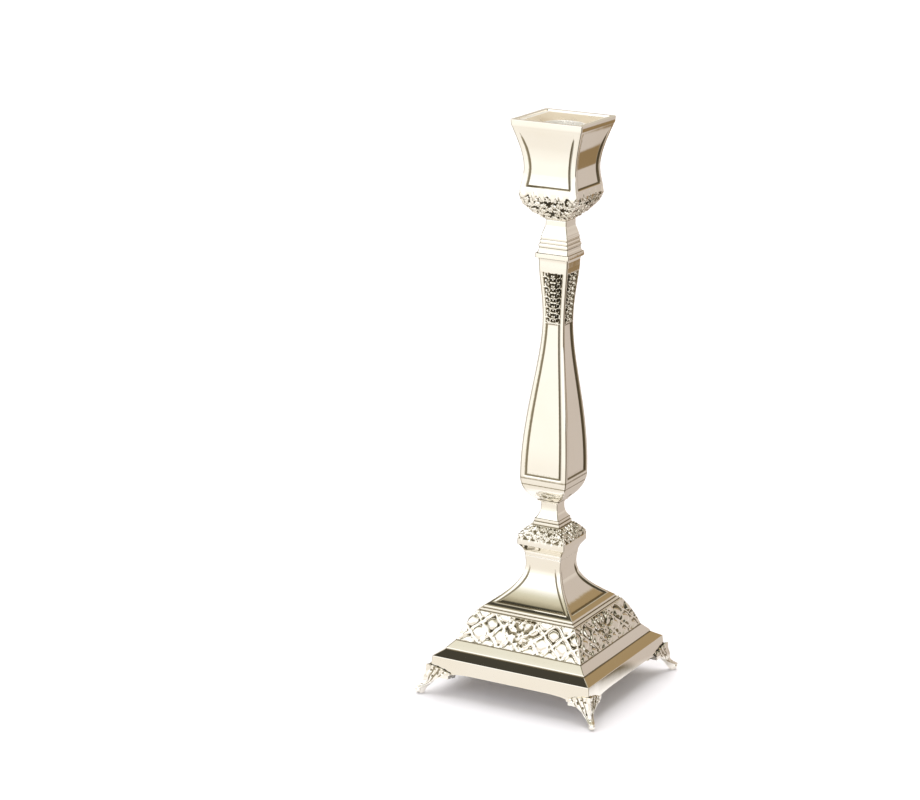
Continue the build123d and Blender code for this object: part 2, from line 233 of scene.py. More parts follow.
def leaf(x, s, at, angle, length, width):
    """Pointed leaf that grows from a place at an angle, in degrees."""
    dx, ds = x - at[0], s - at[1]
    turn = math.radians(angle)
    along = (dx * math.cos(turn) + ds * math.sin(turn)) / length
    side = -dx * math.sin(turn) + ds * math.cos(turn)
    body = np.sin(math.pi * np.clip(along, 0, 1) ** 0.8)
    reach = np.maximum(width / 2 * body, 1e-6)
    # a leaf under about 2 mm wide is too small for a vein and lobes
    size = min(max((width - 1.5) / 0.8, 0), 1)
    vein = 1 - 0.6 * size * np.exp(-((side / (0.14 * width)) ** 2))
    lobes = 1 + 0.14 * size * (np.cos(along * 6 * math.pi - np.abs(side) * 5 / width) - 1)
    return np.where((along > 0) & (along < 1), dome(side, reach) * vein * lobes, 0)


def scroll(x, s, at, radius, start, sweep, thick):
    """Round-section hook that curls from an angle through a sweep, in degrees."""
    dx, ds = x - at[0], s - at[1]
    turned = (np.degrees(np.arctan2(ds, dx)) - start) % 360
    share = turned / sweep
    line = radius * (1 - 0.45 * share)
    hook = np.where(share <= 1, dome(np.hypot(dx, ds) - line, thick / 2), 0)
    end = math.radians(start + sweep)
    curl = (at[0] + 0.55 * radius * math.cos(end), at[1] + 0.55 * radius * math.sin(end))
    return np.maximum(hook, dome(np.hypot(x - curl[0], s - curl[1]), 0.62 * thick))


def bead(x, s, at, radius):
    """Half-round grain."""
    return dome(np.hypot(x - at[0], s - at[1]), radius)


CELL_WIDTH = 11.7
CELL_HEIGHT = 11.3
STRAP_HALF = 1.0
PILLOW_HALF = 3.1


def lattice(x, s):
    """Diagonal straps with pillows between them, and a flower spray in the middle diamond."""
    wander = 0.35 * np.sin(0.55 * s + 0.38 * x + 1.0) + 0.25 * np.sin(0.83 * x - 0.4 * s)
    rise = (x + wander) / CELL_WIDTH + s / CELL_HEIGHT
    fall = (x + wander) / CELL_WIDTH - s / CELL_HEIGHT
    spacing = CELL_WIDTH * CELL_HEIGHT / math.hypot(CELL_WIDTH, CELL_HEIGHT)
    spray_room = (rise > 0) & (rise < 2) & (fall < 0) & (fall > -2)
    # the two straps that would cross in the spray's room are left out
    off_rise = np.where(spray_room & (np.round(rise) == 1), 1, np.abs(rise - np.round(rise)))
    off_fall = np.where(spray_room & (np.round(fall) == -1), 1, np.abs(fall - np.round(fall)))
    strap_height = 0.66 + 0.14 * np.sin(0.9 * x + s)
    straps = strap_height * dome(np.minimum(off_rise, off_fall) * spacing, STRAP_HALF)
    in_rise = np.abs(rise % 1 - 0.5)
    in_fall = np.abs(fall % 1 - 0.5)
    from_middle = (in_rise**3 + in_fall**3) ** (1 / 3) * spacing
    plump = PILLOW_HALF * (1 + 0.1 * np.sin(2.3 * np.floor(rise) + 4.1 * np.floor(fall)))
    pillows = np.where(spray_room, 0, dome(from_middle, plump) ** 0.8)
    side = np.abs(x)
    spray = [
        rosette(x, s, (0, 7.6), 3.9, 6, math.pi / 2),
        leaf(side, s, (0.9, 11.2), 66, 5.6, 3.0),
        leaf(side, s, (3.3, 9.6), 30, 7.4, 3.6),
        leaf(side, s, (3.4, 7.4), -14, 5.6, 2.8),
        leaf(side, s, (1.6, 4.6), -42, 4.2, 2.2),
        scroll(side, s, (6.7, 14.2), 1.8, -90, 260, 1.1),
        scroll(side, s, (5.7, 5.4), 1.3, 150, 240, 0.85),
        bead(side, s, (10.0, 11.6), 0.85),
        bead(side, s, (8.4, 8.4), 0.8),
        bead(side, s, (4.3, 15.0), 0.8),
        bead(side, s, (0, 15.4), 1.0),
        bead(side, s, (0, 2.6), 0.9),
        leaf(side, s, (5.6, 11.8), 75, 3.8, 1.9),
        leaf(side, s, (2.0, 12.6), 110, 3.4, 1.7),
        bead(side, s, (7.6, 11.4), 0.9),
        bead(side, s, (3.4, 3.4), 0.8),
        bead(side, s, (8.0, 6.4), 0.7),
    ]
    return np.maximum.reduce([straps, pillows] + [0.95 * part for part in spray])


def garland(x, s, length, reach, pitch, radius, seed):
    """Close-set blossoms of uneven size, with leaves and beads scattered between them."""
    side = np.abs(x)
    chance = np.random.default_rng(seed)
    parts = []
    row_height = 0.84 * pitch
    for row in range(int(length / row_height) + 1):
        for place in range(int(reach / pitch) + 2):
            shift = chance.uniform(-0.16, 0.16, 2) * pitch
            if row % 2 == 0 and place == 0:
                shift[0] = 0
            at = ((place + 0.5 * (row % 2)) * pitch + shift[0], (row + 0.5) * row_height + shift[1])
            grown = radius * chance.uniform(0.78, 1.12)
            parts.append(rosette(side, s, at, grown, 5 + (row + place) % 2, chance.uniform(0, 2)))
            gap = (at[0] + 0.5 * pitch, at[1] + chance.uniform(-0.1, 0.2) * pitch)
            way = chance.uniform(20, 160)
            parts.append(0.9 * leaf(side, s, gap, way, 0.7 * pitch, 0.4 * pitch))
            parts.append(0.8 * leaf(side, s, gap, way + 170, 0.55 * pitch, 0.34 * pitch))
            spot = np.array(gap) + chance.uniform(-0.45, 0.45, 2) * pitch
            parts.append(chance.uniform(0.55, 0.85) * bead(side, s, spot, 0.19 * pitch))
    return np.maximum.reduce(parts)


def sprigs(x, s, places, foot, height):
    """Three-leaved sprigs that stand up from the garland."""
    side = np.abs(x)
    parts = []
    for place in places:
        for lean in (-38, 0, 38):
            tall = height * (1 - abs(lean) / 110)
            parts.append(leaf(side, s, (place, foot), 90 + lean, tall, 0.46 * height))
    return np.maximum.reduce(parts)


def filigree(x, s, unit, half):
    """Flowers and paired hooks, one above the other, that fill a narrow panel."""
    side = np.abs(x)
    s = s % unit
    reach = half / 5.2
    return np.maximum.reduce([
        rosette(side, s, (0, 0.5 * unit), 0.34 * unit, 5, math.pi / 2),
        scroll(side, s, (3.1 * reach, 0.28 * unit), 0.27 * unit, 60, 290, 0.66),
        scroll(side, s, (3.1 * reach, 0.80 * unit), 0.24 * unit, -80, 280, 0.64),
        0.9 * leaf(side, s, (0.4, 0.9 * unit), 35, 0.5 * unit, 0.25 * unit),
        0.9 * leaf(side, s, (0.4, 0.08 * unit), -25, 0.5 * unit, 0.25 * unit),
        0.9 * bead(side, s, (0, 0), 0.62),
        0.9 * bead(side, s, (0, unit), 0.62),
        0.8 * bead(side, s, (4.6 * reach, 0.54 * unit), 0.5),
    ])


# ---- relief of each casting: (height in mm, darkening 0 to 1 by oxide and painted shade) ----
# x, half, level and along are grids over one face. levels and alongs are those of
# the outline's rows, from which a length along the face is found for a level.
def sunk_panel(x, half, level, border, low, high, depth=PANEL_DEPTH, fade=PANEL_SLOPE):
    """A flat sunk panel whose sloping edge is darkened with a line of painted shade. Its head fades out over
    the fade's length.
    """
    border = np.minimum(border, 0.35 * half)
    inside = np.minimum(half - np.abs(x) - border, level - low)
    head = np.clip((high - level) / fade, 0, 1)
    # painted shade: a dark line along the panel's sloping edge
    line = 0.75 * np.exp(-(((inside - 0.8 * PANEL_SLOPE) / 0.4) ** 2)) * np.minimum(1.6 * head, 1)
    return -depth * np.clip(inside / PANEL_SLOPE, 0, 1) * head, np.where((inside > 0) & (head > 0), line, 0)


def carved(pattern, room, depth, proud, ground=0.36, oxide_and_shade=1.0):
    """A pattern cut down into the surface where room is above 0. What lies below ground is darkened with
    oxide and painted shade.
    """
    share = ramp(room, 0, 0.5)
    height = share * (-depth + (depth + proud) * pattern)
    dark = share * oxide_and_shade * ramp(ground - pattern, 0, 0.42)
    return height, dark


def length_at(level, levels, alongs):
    """Length along the outline at a level."""
    return np.interp(level, levels, alongs)


PYRAMID_PANEL_LOW = PYRAMID_LOW + 1.6


def base_relief(x, half, level, along, levels, alongs):
    """Lattice band, and the sunk panel of the pyramid."""
    s = along - length_at(LATTICE_LOW, levels, alongs)
    length = length_at(LATTICE_TOP, levels, alongs) - length_at(LATTICE_LOW, levels, alongs)
    room = np.minimum(np.minimum(s, length - s) - 0.1, half - np.abs(x) - 0.3)
    in_lattice = (level > LATTICE_LOW) & (level < LATTICE_TOP)
    height, dark = carved(lattice(x, s - 0.1), np.where(in_lattice, room, 0), 1.15, 0.4, oxide_and_shade=0.95)
    # the ground of the spray is wiped cleaner, and gets less painted shade
    dark = dark * (1 - 0.4 * ramp(9.5 - np.hypot(x, s - 10), 0, 3))
    sunk, line = sunk_panel(x, half, level, PYRAMID_BORDER, PYRAMID_PANEL_LOW, PYRAMID_TOP + 1.5, fade=12.0)
    on_pyramid = level > PYRAMID_LOW
    return height + np.where(on_pyramid, sunk, 0), dark + np.where(on_pyramid, line, 0)


def knop_relief(x, half, level, along, levels, alongs):
    """Flower ring."""
    s = along - length_at(RING_LOW, levels, alongs)
    length = length_at(RING_TOP, levels, alongs) - length_at(RING_LOW, levels, alongs)
    pattern = garland(x, s, length, 13.1, 3.5, 1.5, seed=4)
    room = np.where((s > 0) & (s < length), np.minimum(s, length - s), 0)
    return carved(pattern, room, 0.7, 0.4, oxide_and_shade=0.7)


SHAFT_PANEL_LOW = BELLY_LOW + 1.0
FILIGREE_LOW = 188.7
FILIGREE_HIGH = BAND_FOOT - 3.0
FILIGREE_UNITS = 5


def shaft_border(half):
    """The plain border grows with the width of the face."""
    return 0.9 + 0.12 * half


def shaft_relief(x, half, level, along, levels, alongs):
    """Long sunk panel, with filigree above it and a tuft below."""
    border = shaft_border(half)
    plain, line = sunk_panel(x, half, level, border, SHAFT_PANEL_LOW, FILIGREE_LOW)
    length = FILIGREE_HIGH - FILIGREE_LOW
    s = level - FILIGREE_LOW
    pattern = filigree(x, s, length / FILIGREE_UNITS, half - border)
    room = np.minimum(half - np.abs(x) - border, np.minimum(s, length - s))
    cut, dark = carved(pattern, np.maximum(room, 0), 1.05, 0.1, ground=0.66)
    # two fine creases and a small leaf on the rounded underside
    crease = sum(np.exp(-(((level - at) / 0.34) ** 2)) for at in (BELLY_LOW - 0.2, BELLY_LOW - 3.4))
    low_s = along - length_at(ROUND_LOW, levels, alongs)
    tuft = np.maximum.reduce([
        leaf(np.abs(x), low_s, (0, 1.0), 32, 4.6, 2.0),
        leaf(np.abs(x), low_s, (0, 1.0), 62, 4.2, 1.8),
        bead(x, low_s, (0, 1.6), 0.8),
    ])
    on_round = (level > ROUND_LOW) & (level < BELLY_LOW)
    tuft_room = np.where(on_round, ramp(tuft, 0, 0.3), 0)
    # painted shade darkens the creases and a patch round the tuft
    rim = np.where(on_round, ramp(4.4 - np.hypot(x, low_s - 1.2), 0, 1.2) * (1 - tuft_room), 0)
    height = plain + cut - 0.12 * crease + 0.35 * tuft * tuft_room
    return height, np.clip(line + dark + 0.5 * crease + 0.6 * rim, 0, 1)


CUP_BORDER = 2.5
CUP_PANEL_LOW = BULGE + 3.3
CUP_PANEL_HIGH = RIM_LOW - 1.5
GARLAND_TOP = 252.6


def cup_relief(x, half, level, along, levels, alongs):
    """Sunk panel over a garland with sprigs."""
    sunk, line = sunk_panel(x, half, level, CUP_BORDER, CUP_PANEL_LOW, CUP_PANEL_HIGH, fade=9.0)
    s = along - length_at(NECK_TOP, levels, alongs)
    top = length_at(GARLAND_TOP, levels, alongs)
    edge = top + 1.1 * np.cos(x * 2 * math.pi / 5.3)
    flowers = garland(x, s, top, 15.5, 3.9, 1.75, seed=11)
    room = np.where(level < BULGE + 3, np.maximum(np.minimum(s - 1.0, edge - s), 0), 0)
    cut, dark = carved(flowers, room, 0.75, 0.45, ground=0.42, oxide_and_shade=0.95)
    above = sprigs(x, s, (0, 6.6, 13.4), top - 0.9, 4.0) * ramp(s - edge, -0.4, 0.2)
    # painted shade outlines the sprigs where they rise from the ground
    rim = ramp(above, 0, 0.08) * (1 - ramp(above, 0.1, 0.4))
    return sunk + cut + 0.45 * above, np.clip(line + dark + 0.5 * rim, 0, 1)


# ---- castings ----
def finish_mesh(name, bm, material, body, nodes, sharp=32):
    """Makes a piece that rides on a body in place of its CAD nodes. Edges over sharp degrees stay crisp."""
    mesh = bpy.data.meshes.new(name)
    bm.to_mesh(mesh)
    bm.free()
    mesh.shade_smooth()
    mesh.set_sharp_from_angle(angle=math.radians(sharp))
    mesh.materials.append(material)
    piece = bpy.data.objects.new(name, mesh)
    bpy.context.scene.collection.objects.link(piece)
    even = piece.modifiers.new("even_shading", "WEIGHTED_NORMAL")
    even.mode = "FACE_AREA"
    even.weight = 50
    even.keep_sharp = True
    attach(piece, body)
    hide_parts(*nodes)
    return piece


def close_and_turn_out(bm):
    """Welds the seams and turns the faces outward."""
    bmesh.ops.remove_doubles(bm, verts=bm.verts, dist=2e-6)
    bmesh.ops.dissolve_degenerate(bm, edges=bm.edges, dist=1e-7)
    bmesh.ops.recalc_face_normals(bm, faces=bm.faces)


def grid_places(bm, places, darkening):
    """Moves the vertices of a unit grid to rows of places, in millimetres."""
    # the recess layer carries the darkening: oxide and painted shade on the castings, painted shade in the
    # socket's dish
    layer = bm.verts.layers.float.new("recess")
    rows, columns = darkening.shape
    for vertex in bm.verts:
        row = round((vertex.co.y + 1) / 2 * (rows - 1))
        column = round((vertex.co.x + 1) / 2 * (columns - 1))
        vertex.co = Vector(places[row, column]) * MM
        vertex[layer] = darkening[row, column]


def four_sides(bm):
    """Repeats one face on the other sides."""
    everything = bm.verts[:] + bm.edges[:] + bm.faces[:]
    turn = math.tau * (SIDES - 1) / SIDES
    bmesh.ops.spin(bm, geom=everything, cent=(0, 0, 0), axis=(0, 0, 1), angle=turn,
                   steps=SIDES - 1, use_duplicate=True)


def blurred(values):
    """Blurs a grid once, so that a casting has no detail finer than its mesh."""
    padded = np.pad(values, 1, mode="edge")
    rows = (padded[:-2] + 2 * padded[1:-1] + padded[2:]) / 4
    return (rows[:, :-2] + 2 * rows[:, 1:-1] + rows[:, 2:]) / 4


def moulded(start, runs, inner, columns, rounding, arris, border, relief=None, lift=None):
    """A hollow square casting: one face as a grid, repeated on the four sides."""
    outer = trace(start, runs)
    levels = np.array([station.level for station in outer])
    alongs = np.array([station.along for station in outer])
    stations = soften(outer + inner_points(inner), rounding)
    stations.append(stations[0])
    strip, slope, middle = columns
    borders = [border(s.half) if callable(border) else border for s in stations]
    x = np.array([across(s.half, arris, b, strip, slope, middle) for s, b in zip(stations, borders)])
    half, level, out, up, along, keeps, crevice = (np.array(c)[:, None] + 0 * x for c in zip(*stations))
    height, dark = 0 * x, 0 * x
    if relief:
        height, dark = relief(x, half, level, along, levels, alongs)
        height, dark = blurred(height) * keeps, dark * keeps
    # the inner corners get oxide and painted shade
    dark = dark + CREVICE_OXIDE_AND_SHADE * crevice
    if lift:
        level = level + lift(x, half, level)
    share = x / half
    grown = half + height * out
    across_face = share * grown
    # the arris is rounded: near it, points move onto an arc
    radius = np.minimum(arris, 0.2 * half)
    near = np.clip(1 - (grown - np.abs(across_face)) / radius, 0, 1)
    angle = near * math.pi / 4
    across_face = np.where(near > 0, np.sign(x) * (grown - radius + radius * np.sin(angle)), across_face)
    depth = np.where(near > 0, grown - radius + radius * np.cos(angle), grown)
    places = np.stack([across_face, -depth, level + height * up], axis=-1)
    bm = bmesh.new()
    rows, count = x.shape
    bmesh.ops.create_grid(bm, x_segments=count - 1, y_segments=rows - 1, size=1)
    grid_places(bm, places, dark)
    four_sides(bm)
    close_and_turn_out(bm)
    return bm


def skirt_arch(x, half, level):
    """Lifts the skirt's lower edge between the feet."""
    rise = ARCH_RISE * np.clip(1 - (x / ARCH_HALF) ** 8, 0, 1)
    return rise * np.clip((SKIRT_LOW + ARCH_FADE - level) / ARCH_FADE, 0, 1)


def rows_near(level, steps):
    """Levels of the close rows that carry the step of a panel's edge."""
    return tuple(level + step for step in steps)


def make_base():
    runs = [
        Run(43.6, 19.1, rows=3),
        Run(38.6, COVE_TOP, rows=2),
        Run(38.6, 22.9),
        Run(34.9, LATTICE_LOW, rows=2),
        Run(27.3, LATTICE_TOP, (0.25, 0.37), (0.59, 0.71), rows=46),
        Run(27.3 - STEP_BACK, LATTICE_TOP),
        Run(27.3 - STEP_BACK, LATTICE_TOP + STEP),
        Run(24.9, LATTICE_TOP + STEP),
        Run(24.9, PYRAMID_LOW),
        Run(9.6, PYRAMID_TOP, (0.558, 0.296), (1.0, 0.573), rows=26,
            marks=rows_near(PYRAMID_PANEL_LOW, (0, 0.25, 0.5, 0.9, 1.2))),
        Run(10.1, BASE_TOP, (0.0, 0.4), (0.6, 0.9), rows=6),
    ]
    inner = [
        (BORE, BASE_TOP), (BORE, BOSS_LOW), (10.2, BOSS_LOW), (13.4, 50.0), (17.6, 46.0),
        (22.3, PYRAMID_LOW), (24.6, LATTICE_TOP), (32.0, LATTICE_LOW), (36.2, COVE_TOP),
        (41.2, 18.4), (42.1, SKIRT_LOW),
    ]
    bm = moulded((44.5, SKIRT_LOW), runs, inner, (4, 3, 70), 0.22, 0.5, PYRAMID_BORDER, base_relief,
                 skirt_arch)
    for turn in range(SIDES):
        corner = Matrix.Rotation(turn * math.pi / 2, 4, "Z") @ Vector((POST_AT, POST_AT, 0))
        place = Matrix.Translation((corner.x * MM, corner.y * MM, (SKIRT_LOW + POST_TOP) / 2 * MM))
        bmesh.ops.create_cone(bm, cap_ends=True, segments=32, radius1=POST_RADIUS * MM,
                              radius2=POST_RADIUS * MM, depth=(POST_TOP - SKIRT_LOW) * MM, matrix=place)
    return bm


def make_knop():
    runs = [
        Run(13.1, 75.0, (0.05, 0.5), (0.6, 0.75), rows=10),
        Run(13.1, RING_LOW, rows=2),
        Run(8.1, RING_TOP, (0.02, 0.38), (0.43, 0.735), rows=40),
        Run(7.4, RING_TOP),
        Run(7.4, 86.2),
        Run(6.9, 86.2),
        Run(6.9, 87.9),
        Run(6.6, 87.9),
        Run(4.5, 94.0, (0.5, 0.25), (1.0, 0.54), rows=12),
        Run(4.5, 95.0),
        Run(5.5, KNOP_TOP, (0.0, 0.5), (0.5, 1.0), rows=5),
    ]
    inner = [(BORE, KNOP_TOP), (BORE, BASE_TOP)]
    return moulded((10.1, BASE_TOP), runs, inner, (3, 2, 48), 0.2, 0.75, 1.6, knop_relief)


def make_shaft():
    runs = [
        Run(6.1, KNOP_TOP),
        Run(6.1, ROUND_LOW),
        Run(12.85, BELLY_LOW, (0.5, 0.19), (0.97, 0.52), rows=40),
        Run(12.85, BELLY_TOP, rows=2, marks=(SHAFT_PANEL_LOW,)),
        Run(5.95, SHAFT_WAIST, (0.0, 0.397), (1.0, 0.731), rows=30,
            marks=rows_near(SHAFT_PANEL_LOW, (0.55, 0.9, 1.2))
            + rows_near(FILIGREE_LOW, (-1.2, -0.9, -0.5, 0, 0.3, 0.7))),
        Run(7.9, BAND_FOOT, (0.0, 0.36), (0.675, 0.655), rows=120),
        Run(7.9, 219.4),
        Run(8.5, SHAFT_TOP, (0.1, 0.6), (0.5, 0.95), rows=5),
    ]
    inner = [(BORE, SHAFT_TOP), (BORE, KNOP_TOP)]
    return moulded((5.5, KNOP_TOP), runs, inner, (3, 3, 30), 0.2, 1.3, shaft_border, shaft_relief)


# lead and tail that make a step of the neck swell outward
STEP_BULGE = ((-4.0, 0.3), (-3.0, 0.7))


def make_neck():
    runs = [
        Run(9.15, COLLAR_TOP, rows=2),
        Run(8.6, COLLAR_TOP),
        Run(7.8, NECK_STEPS, (0.6, 0.2), (1.0, 0.6), rows=8),
        Run(7.7, NECK_STEPS + NECK_STEP, *STEP_BULGE, rows=6),
        Run(7.4, NECK_STEPS + NECK_STEP),
        Run(7.3, NECK_STEPS + 2 * NECK_STEP, *STEP_BULGE, rows=6),
        Run(7.1, NECK_STEPS + 2 * NECK_STEP),
        Run(7.0, NECK_STEPS + 3 * NECK_STEP, *STEP_BULGE, rows=6),
        Run(5.65, THROAT_LOW, (0.1, 0.35), (0.9, 0.7), rows=12),
        Run(5.65, NECK_TOP),
    ]
    inner = [(BORE, NECK_TOP), (BORE, SHAFT_TOP)]
    return moulded((9.15, SHAFT_TOP), runs, inner, (2, 1, 4), 0.45, 0.8, 1.5)


def make_cup():
    runs = [
        Run(15.5, BULGE, (0.39, 0.25), (1.0, 0.54), rows=72),
        Run(14.05, CUP_WAIST, (0.18, 0.33), (0.92, 0.6), rows=24,
            marks=rows_near(CUP_PANEL_LOW, (0, 0.3, 0.65, 0.9, 1.15))),
        Run(18.7, RIM_LOW, (0.0, 0.32), (0.55, 0.69), rows=24),
        Run(19.0, RIM_LOW + 0.7),
        Run(19.2, RIM_TOP, rows=2),
    ]
    inner = [
        (RIM_OPENING, RIM_TOP), (RIM_OPENING, LEDGE_LEVEL), (RIM_LEDGE, LEDGE_LEVEL),
        (RIM_LEDGE, RIM_LOW), (14.2, 280.0), (12.4, 272.0), (11.95, CUP_WAIST), (12.6, 259.0),
        (13.2, 253.5), (12.2, CUP_FLOOR), (BORE, CUP_FLOOR), (BORE, NECK_TOP),
    ]
    return moulded((5.65, NECK_TOP), runs, inner, (4, 3, 58), 0.3, 0.9, CUP_BORDER, cup_relief)


# ---- feet ----
# A foot is a leaf folded over the corner. Its wings spread along the skirt, and its
# toe splays outward below them.
FOOT_TOP = 15.0
FOOT_TIP_TOP = 12.2
FOOT_OUTER = 46.25
FOOT_INNER = 44.65
FOOT_SPREAD = 13.0
WING_LOW = 10.9
BEND_TOP = 6.6
TOE_SPREAD = 1.84
TOE_LEVEL = 2.04
TOE_HALF = 50.2
TOE_BEAD = 1.62
LUG_LOW = 8.8
LUG_RADIUS = 4.0
SCREW_HOLE = 1.75


def foot_edge(share):
    """Reach along the skirt and level of the wing's lower edge, from its tip to the toe."""
    points = ((FOOT_SPREAD, WING_LOW), (8.0, 9.8), (3.4, 7.2), (TOE_SPREAD, TOE_LEVEL))
    return bezier([np.array(point) for point in points], share)


def foot_outside(level):
    """Half-width of the outside of the foot at a level: upright, then a curve out to the toe."""
    share = np.clip((BEND_TOP - level) / (BEND_TOP - 3.0), 0, 1)
    curve = FOOT_OUTER - 0.9 * ramp(level, 8.0, 13.0) + (TOE_HALF - 0.65 - FOOT_OUTER) * share**1.7
    nose = 0.9 * np.clip((0.9 - level) / 0.9, 0, 1) ** 2
    return curve - nose


def foot_inside(level):
    """Half-width of the inside of the foot at a level."""
    share = np.clip((BEND_TOP - level) / BEND_TOP, 0, 1)
    return FOOT_INNER + (47.4 - FOOT_INNER) * share**1.4


def foot_relief(reach, level, edge):
    """Acanthus leaf: a midrib on the corner, ribs that fan out from the toe, a curl and small pits."""
    midrib = np.exp(-((reach / 0.7) ** 2))
    fan = np.degrees(np.arctan2(reach, np.maximum(level - 1.5, 0.1)))
    ribs = np.cos(2 * math.pi * (fan + 1.1 * reach) / 15.0) * ramp(reach, 0.6, 2.2)
    curl = scroll(reach, level, (9.9, 11.7), 1.3, 110, 300, 0.8)
    pits = np.maximum.reduce([
        bead(reach, level, (6.6, 11.2), 0.75),
        bead(reach, level, (4.0, 9.4), 0.65),
        bead(reach, level, (2.4, 12.2), 0.65),
        bead(reach, level, (2.0, 6.4), 0.45),
        bead(reach, level, (4.6, 13.0), 0.4),
    ])
    room = ramp(edge - reach, 0, 0.8)
    height = 0.3 * midrib + (0.17 + 0.17 * ribs) * (1 - curl) + 0.45 * curl - 0.5 * pits
    # the pits and the hollows between the ribs are darkened with oxide and painted shade
    hollow = 0.6 * ramp(-0.3 - ribs, 0, 0.6) * (1 - midrib) * (1 - curl)
    return height * room, np.maximum(0.75 * pits, hollow) * room


def make_foot(turn):
    """A foot as one grid: the outside from its lobed top to the sole, and back up the inside."""
    upper, lower, toe = 14, 38, 8
    share = np.linspace(-1, 1, 65)
    side = np.abs(share)
    # reach of the row along the skirt, and the level of each of its points
    rows = []
    for k in np.linspace(0, 1, upper, endpoint=False):
        lobes = 0.35 * np.abs(np.sin(side * 3 * math.pi))
        top = FOOT_TOP - (FOOT_TOP - FOOT_TIP_TOP) * side**1.6 - lobes
        rows.append((FOOT_SPREAD, top + (WING_LOW - top) * k))
    for k in np.linspace(0, 1, lower, endpoint=False):
        edge, level = foot_edge(k)
        rows.append((edge - 0.5 * abs(math.sin(4 * math.pi * k)) * (1 - k), level + 0 * side))
    for k in np.linspace(0, 1, toe):
        rows.append((TOE_SPREAD, TOE_LEVEL * (1 - k) + 0 * side))
    edge = np.array([row[0] for row in rows])[:, None] + 0 * share
    level = np.array([row[1] for row in rows])
    reach = edge * side
    height, dark = foot_relief(reach, level, edge)
    keep = (1 - side**8) * ramp(level, 1.0, 4.0)
    outer = foot_outside(level) + height * keep
    inner = outer - (foot_outside(level) - foot_inside(level)) * (1 - side**8)
    half = np.concatenate([outer, inner[::-1], outer[:1]])
    reach = np.concatenate([reach, reach[::-1], reach[:1]])
    level = np.concatenate([level, level[::-1], level[:1]])
    dark = np.concatenate([dark * keep, 0 * dark, dark[:1] * keep[:1]])
    # each half of the leaf lies on one side of the corner
    x = np.where(share > 0, half, half - reach)
    y = np.where(share > 0, half - reach, half)
    bm = bmesh.new()
    bmesh.ops.create_grid(bm, x_segments=len(share) - 1, y_segments=len(half) - 1, size=1)
    grid_places(bm, np.stack([x, y, level], axis=-1), dark)
    close_and_turn_out(bm)
    # the ball of the toe, and a small one above it
    for at, lift, radius in ((TOE_HALF - TOE_BEAD - 0.1, TOE_BEAD + 0.05, TOE_BEAD), (47.2, 3.9, 1.1)):
        bmesh.ops.create_uvsphere(bm, u_segments=20, v_segments=12, radius=radius * MM,
                                  matrix=Matrix.Translation(Vector((at, at, lift)) * MM))
    add_lug(bm)
    bmesh.ops.rotate(bm, verts=bm.verts, cent=(0, 0, 0), matrix=Matrix.Rotation(turn, 3, "Z"))
    return bm


def add_lug(bm):
    """Drilled eye under the skirt's edge, with a web to each wing."""
    ring = []
    for radius, level in (
        (SCREW_HOLE, LUG_LOW), (LUG_RADIUS, LUG_LOW), (LUG_RADIUS, SKIRT_LOW), (SCREW_HOLE, SKIRT_LOW),
    ):
        ring.append(bm.verts.new(Vector((POST_AT + radius, POST_AT, level)) * MM))
    edges = [bm.edges.new((ring[i - 1], ring[i])) for i in range(len(ring))]
    centre = Vector((POST_AT, POST_AT, 0)) * MM
    bmesh.ops.spin(bm, geom=ring + edges, cent=centre, axis=(0, 0, 1), angle=math.tau,
                   steps=36, use_merge=True)
    bmesh.ops.remove_doubles(bm, verts=bm.verts, dist=2e-6)
    web = FOOT_INNER + 0.6 - POST_AT - SCREW_HOLE
    for swap in (False, True):
        middle = Vector((POST_AT + SCREW_HOLE + web / 2, POST_AT, (LUG_LOW + SKIRT_LOW) / 2))
        size = Vector((web, 2 * LUG_RADIUS - 1.0, SKIRT_LOW - LUG_LOW - 0.1))
        if swap:
            middle.x, middle.y = middle.y, middle.x
            size.x, size.y = size.y, size.x
        place = Matrix.Translation(middle * MM) @ Matrix.Diagonal((*(size * MM), 1))
        bmesh.ops.create_cube(bm, size=1, matrix=place)
    bmesh.ops.recalc_face_normals(bm, faces=bm.faces)


# ---- candle socket ----
FLANGE_HALF = 16.9
FLANGE_LOW = 288.4
FLANGE_TOP = 289.3
DISH_HALF = 15.4
CANDLE_RADIUS = 10.0
TUBE_RADIUS = 11.0
MOUTH = 286.6
SOCKET_FLOOR = 263.7
SOCKET_FOOT = 262.7


